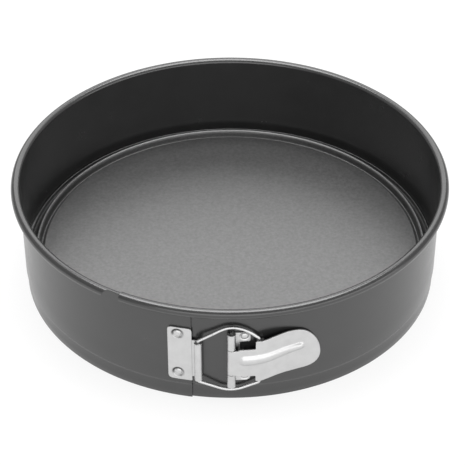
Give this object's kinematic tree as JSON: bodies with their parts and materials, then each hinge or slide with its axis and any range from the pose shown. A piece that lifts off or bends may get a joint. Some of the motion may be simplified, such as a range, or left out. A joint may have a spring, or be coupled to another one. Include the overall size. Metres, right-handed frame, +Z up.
{
  "type": "springform pan",
  "caption": "Round cake pan with a loose raised base inside a rolled-rim side band that opens by an over-centre lever latch with a wire link.",
  "frame": {"origin": "centre of the pan on the surface it stands on", "axes": "+Z up, -Y towards the latch, +X to the lever's side"},
  "size_m": [0.3103, 0.3112, 0.08],
  "materials": {
    "band_coating": "satin dark grey non-stick coating",
    "base_coating": "satin grey non-stick coating with a fine orange-peel texture",
    "plated_steel": "bright plated steel, softly brushed"
  },
  "bodies": {
    "fixed_half": {"band_right": "band_coating", "hinge_bracket": "plated_steel", "hinge_rivet_upper": "plated_steel", "hinge_rivet_lower": "plated_steel", "hinge_pin": "plated_steel"},
    "opening_half": {"band_left": "band_coating", "catch_plate": "plated_steel", "catch_rivet_upper": "plated_steel", "catch_rivet_lower": "plated_steel", "link_run": "plated_steel"},
    "lever": {"latch_lever": "plated_steel"},
    "link": {"wire_link": "plated_steel"},
    "base": {"base_plate": "base_coating"}
  },
  "joints": [
    {"name": "lever_swing", "type": "hinge", "parent": "fixed_half", "child": "lever", "pos_m": [0.0005, -0.152, 0.0366], "axis": [0, 0, -1], "range_deg": [0, 165]},
    {"name": "link_swing", "type": "hinge", "parent": "lever", "child": "link", "pos_m": [0.019, -0.1508, 0.0378], "axis": [0, 0, -1], "range_deg": [-148.5, 0]},
    {"name": "band_open", "type": "hinge", "parent": "fixed_half", "child": "opening_half", "pos_m": [0, 0.1549, 0.0767], "axis": [0, 0, -1], "range_deg": [0, 6.52]},
    {"name": "base_lift", "type": "slide", "parent": "fixed_half", "child": "base", "axis": [0, 0, 1], "range_m": [0, 0.08]}
  ],
  "couplings": [
    {"joint": "link_swing", "follows": "lever_swing", "ratio": -0.89931},
    {"joint": "band_open", "follows": "lever_swing", "ratio": 0.039483}
  ]
}
